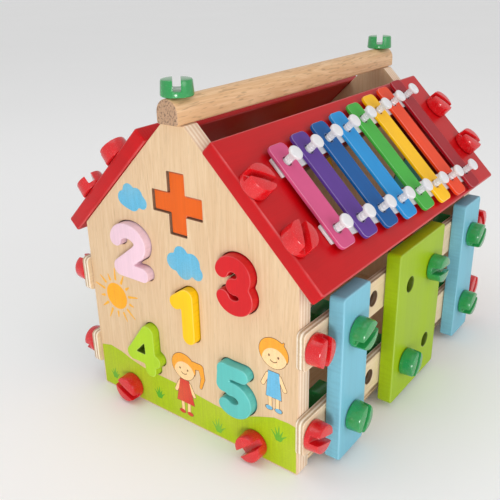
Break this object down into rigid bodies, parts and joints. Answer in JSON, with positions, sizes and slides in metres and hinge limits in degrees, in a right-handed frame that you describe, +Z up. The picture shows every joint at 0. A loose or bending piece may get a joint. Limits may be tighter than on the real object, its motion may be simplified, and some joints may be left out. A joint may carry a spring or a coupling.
{
  "type": "shape sorter",
  "caption": "Wooden activity house: two gable walls, bolted rails and upright boards, a red roof with a chime of metal bars, and loose number pieces in matching cut-outs.",
  "frame": {"origin": "on the ground, at the middle of the house's overall length and width", "axes": "+Z up, +Y from the front gable (the one with the numbers 1 to 5) to the back gable along the ridge, +X to the wall under the chime"},
  "size_m": [0.2092, 0.256, 0.2144],
  "materials": {
    "wood": "clear matt, plywood with a printed picture on the front",
    "rail_wood": "clear matt, plywood",
    "handle_wood": "clear matt, solid beech-like wood",
    "red_paint": "painted, semi-gloss",
    "blue_paint": "painted, satin",
    "lime_paint": "painted, satin",
    "orange_paint": "painted, satin",
    "yellow_paint": "painted, satin",
    "pink_paint": "painted, satin",
    "turquoise_paint": "painted, satin",
    "red_plastic": "moulded, glossy",
    "green_plastic": "moulded, glossy",
    "white_plastic": "moulded, satin",
    "pink_metal": "enamelled, satin",
    "purple_metal": "enamelled, satin",
    "blue_metal": "enamelled, satin",
    "light_blue_metal": "enamelled, satin",
    "green_metal": "enamelled, satin",
    "yellow_metal": "enamelled, satin",
    "orange_metal": "enamelled, satin",
    "dark_red_metal": "enamelled, satin"
  },
  "bodies": {
    "house": {"gable_front": "wood", "gable_back": "wood", "floor_board": "wood", "rail_right_lower": "rail_wood", "rail_right_upper": "rail_wood", "board_right_blue_front": "blue_paint", "board_right_lime": "lime_paint", "board_right_blue_back": "blue_paint", "rail_left_lower": "rail_wood", "rail_left_upper": "rail_wood", "board_left_blue_front_bolted": "blue_paint", "board_left_lime_bolted": "lime_paint", "board_left_blue_back_bolted": "blue_paint", "roof_board_right": "red_paint", "roof_board_left_bolted": "red_paint", "chime_pins_upper": "white_plastic", "chime_pins_lower": "white_plastic", "chime_bar_1": "pink_metal", "chime_bar_2": "purple_metal", "chime_bar_3": "blue_metal", "chime_bar_4": "light_blue_metal", "chime_bar_5": "green_metal", "chime_bar_6": "yellow_metal", "chime_bar_7": "orange_metal", "chime_bar_8": "dark_red_metal", "ridge_handle": "handle_wood"},
    "piece_plus": {"piece_plus": "orange_paint"},
    "piece_1": {"piece_1": "yellow_paint"},
    "piece_2": {"piece_2": "pink_paint"},
    "piece_3": {"piece_3": "red_paint"},
    "piece_4": {"piece_4": "lime_paint"},
    "piece_5": {"piece_5": "turquoise_paint"},
    "piece_6": {"piece_6": "turquoise_paint"},
    "piece_7": {"piece_7": "yellow_paint"},
    "piece_8": {"piece_8": "orange_paint"},
    "piece_9": {"piece_9": "lime_paint"},
    "bolt_ridge_front": {"bolt_ridge_front": "green_plastic"},
    "bolt_ridge_back": {"bolt_ridge_back": "green_plastic"},
    "bolt_roof_right_lower_front": {"bolt_roof_right_lower_front": "red_plastic"},
    "bolt_roof_right_lower_back": {"bolt_roof_right_lower_back": "red_plastic"},
    "bolt_roof_right_upper_front": {"bolt_roof_right_upper_front": "red_plastic"},
    "bolt_roof_right_upper_back": {"bolt_roof_right_upper_back": "red_plastic"},
    "bolt_rail_right_lower_front": {"bolt_rail_right_lower_front": "red_plastic"},
    "bolt_rail_right_lower_back": {"bolt_rail_right_lower_back": "red_plastic"},
    "bolt_rail_right_upper_front": {"bolt_rail_right_upper_front": "red_plastic"},
    "bolt_rail_right_upper_back": {"bolt_rail_right_upper_back": "red_plastic"},
    "bolt_rail_left_lower_front": {"bolt_rail_left_lower_front": "red_plastic"},
    "bolt_rail_left_lower_back": {"bolt_rail_left_lower_back": "red_plastic"},
    "bolt_rail_left_upper_front": {"bolt_rail_left_upper_front": "red_plastic"},
    "bolt_rail_left_upper_back": {"bolt_rail_left_upper_back": "red_plastic"},
    "bolt_foot_front_right": {"bolt_foot_front_right": "red_plastic"},
    "bolt_foot_front_left": {"bolt_foot_front_left": "red_plastic"},
    "bolt_foot_back_right": {"bolt_foot_back_right": "red_plastic"},
    "bolt_foot_back_left": {"bolt_foot_back_left": "red_plastic"},
    "bolt_board_right_blue_front_lower": {"bolt_board_right_blue_front_lower": "green_plastic"},
    "bolt_board_right_blue_front_upper": {"bolt_board_right_blue_front_upper": "green_plastic"},
    "bolt_board_right_lime_lower": {"bolt_board_right_lime_lower": "green_plastic"},
    "bolt_board_right_lime_upper": {"bolt_board_right_lime_upper": "green_plastic"},
    "bolt_board_right_blue_back_lower": {"bolt_board_right_blue_back_lower": "green_plastic"},
    "bolt_board_right_blue_back_upper": {"bolt_board_right_blue_back_upper": "green_plastic"}
  },
  "joints": [
    {"name": "lift_out_piece_plus", "type": "slide", "parent": "house", "child": "piece_plus", "axis": [0, -1, 0], "range_m": [0, 0.04]},
    {"name": "lift_out_piece_1", "type": "slide", "parent": "house", "child": "piece_1", "axis": [0, -1, 0], "range_m": [0, 0.04]},
    {"name": "lift_out_piece_2", "type": "slide", "parent": "house", "child": "piece_2", "axis": [0, -1, 0], "range_m": [0, 0.04]},
    {"name": "lift_out_piece_3", "type": "slide", "parent": "house", "child": "piece_3", "axis": [0, -1, 0], "range_m": [0, 0.04]},
    {"name": "lift_out_piece_4", "type": "slide", "parent": "house", "child": "piece_4", "axis": [0, -1, 0], "range_m": [0, 0.04]},
    {"name": "lift_out_piece_5", "type": "slide", "parent": "house", "child": "piece_5", "axis": [0, -1, 0], "range_m": [0, 0.04]},
    {"name": "lift_out_piece_6", "type": "slide", "parent": "house", "child": "piece_6", "axis": [0, 1, 0], "range_m": [0, 0.04]},
    {"name": "lift_out_piece_7", "type": "slide", "parent": "house", "child": "piece_7", "axis": [0, 1, 0], "range_m": [0, 0.04]},
    {"name": "lift_out_piece_8", "type": "slide", "parent": "house", "child": "piece_8", "axis": [0, 1, 0], "range_m": [0, 0.04]},
    {"name": "lift_out_piece_9", "type": "slide", "parent": "house", "child": "piece_9", "axis": [0, 1, 0], "range_m": [0, 0.04]},
    {"name": "turn_bolt_ridge_front", "type": "hinge", "parent": "house", "child": "bolt_ridge_front", "pos_m": [0, -0.113, 0.2052], "axis": [0, 0, 1], "continuous": true},
    {"name": "turn_bolt_ridge_back", "type": "hinge", "parent": "house", "child": "bolt_ridge_back", "pos_m": [0, 0.113, 0.2052], "axis": [0, 0, 1], "continuous": true},
    {"name": "turn_bolt_roof_right_lower_front", "type": "hinge", "parent": "house", "child": "bolt_roof_right_lower_front", "pos_m": [0.07332, -0.113, 0.14015], "axis": [0.7034, 0, 0.7108], "continuous": true},
    {"name": "turn_bolt_roof_right_lower_back", "type": "hinge", "parent": "house", "child": "bolt_roof_right_lower_back", "pos_m": [0.07332, 0.113, 0.14015], "axis": [0.7034, 0, 0.7108], "continuous": true},
    {"name": "turn_bolt_roof_right_upper_front", "type": "hinge", "parent": "house", "child": "bolt_roof_right_upper_front", "pos_m": [0.04851, -0.113, 0.1647], "axis": [0.7034, 0, 0.7108], "continuous": true},
    {"name": "turn_bolt_roof_right_upper_back", "type": "hinge", "parent": "house", "child": "bolt_roof_right_upper_back", "pos_m": [0.04851, 0.113, 0.1647], "axis": [0.7034, 0, 0.7108], "continuous": true},
    {"name": "turn_bolt_rail_right_lower_front", "type": "hinge", "parent": "house", "child": "bolt_rail_right_lower_front", "pos_m": [0.0856, -0.113, 0.0285], "axis": [1, 0, 0], "continuous": true},
    {"name": "turn_bolt_rail_right_lower_back", "type": "hinge", "parent": "house", "child": "bolt_rail_right_lower_back", "pos_m": [0.0856, 0.113, 0.0285], "axis": [1, 0, 0], "continuous": true},
    {"name": "turn_bolt_rail_right_upper_front", "type": "hinge", "parent": "house", "child": "bolt_rail_right_upper_front", "pos_m": [0.0856, -0.113, 0.0835], "axis": [1, 0, 0], "continuous": true},
    {"name": "turn_bolt_rail_right_upper_back", "type": "hinge", "parent": "house", "child": "bolt_rail_right_upper_back", "pos_m": [0.0856, 0.113, 0.0835], "axis": [1, 0, 0], "continuous": true},
    {"name": "turn_bolt_rail_left_lower_front", "type": "hinge", "parent": "house", "child": "bolt_rail_left_lower_front", "pos_m": [-0.0856, -0.113, 0.0285], "axis": [-1, 0, 0], "continuous": true},
    {"name": "turn_bolt_rail_left_lower_back", "type": "hinge", "parent": "house", "child": "bolt_rail_left_lower_back", "pos_m": [-0.0856, 0.113, 0.0285], "axis": [-1, 0, 0], "continuous": true},
    {"name": "turn_bolt_rail_left_upper_front", "type": "hinge", "parent": "house", "child": "bolt_rail_left_upper_front", "pos_m": [-0.0856, -0.113, 0.0835], "axis": [-1, 0, 0], "continuous": true},
    {"name": "turn_bolt_rail_left_upper_back", "type": "hinge", "parent": "house", "child": "bolt_rail_left_upper_back", "pos_m": [-0.0856, 0.113, 0.0835], "axis": [-1, 0, 0], "continuous": true},
    {"name": "turn_bolt_foot_front_right", "type": "hinge", "parent": "house", "child": "bolt_foot_front_right", "pos_m": [0.0505, -0.1188, 0.0095], "axis": [0, -1, 0], "continuous": true},
    {"name": "turn_bolt_foot_front_left", "type": "hinge", "parent": "house", "child": "bolt_foot_front_left", "pos_m": [-0.0505, -0.1188, 0.0095], "axis": [0, -1, 0], "continuous": true},
    {"name": "turn_bolt_foot_back_right", "type": "hinge", "parent": "house", "child": "bolt_foot_back_right", "pos_m": [0.0505, 0.1188, 0.0095], "axis": [0, 1, 0], "continuous": true},
    {"name": "turn_bolt_foot_back_left", "type": "hinge", "parent": "house", "child": "bolt_foot_back_left", "pos_m": [-0.0505, 0.1188, 0.0095], "axis": [0, 1, 0], "continuous": true},
    {"name": "turn_bolt_board_right_blue_front_lower", "type": "hinge", "parent": "house", "child": "bolt_board_right_blue_front_lower", "pos_m": [0.0954, -0.0845, 0.0285], "axis": [1, 0, 0], "continuous": true},
    {"name": "turn_bolt_board_right_blue_front_upper", "type": "hinge", "parent": "house", "child": "bolt_board_right_blue_front_upper", "pos_m": [0.0954, -0.0845, 0.0835], "axis": [1, 0, 0], "continuous": true},
    {"name": "turn_bolt_board_right_lime_lower", "type": "hinge", "parent": "house", "child": "bolt_board_right_lime_lower", "pos_m": [0.0954, -0.016, 0.0285], "axis": [1, 0, 0], "continuous": true},
    {"name": "turn_bolt_board_right_lime_upper", "type": "hinge", "parent": "house", "child": "bolt_board_right_lime_upper", "pos_m": [0.0954, 0.016, 0.0835], "axis": [1, 0, 0], "continuous": true},
    {"name": "turn_bolt_board_right_blue_back_lower", "type": "hinge", "parent": "house", "child": "bolt_board_right_blue_back_lower", "pos_m": [0.0954, 0.0845, 0.0285], "axis": [1, 0, 0], "continuous": true},
    {"name": "turn_bolt_board_right_blue_back_upper", "type": "hinge", "parent": "house", "child": "bolt_board_right_blue_back_upper", "pos_m": [0.0954, 0.0845, 0.0835], "axis": [1, 0, 0], "continuous": true}
  ]
}
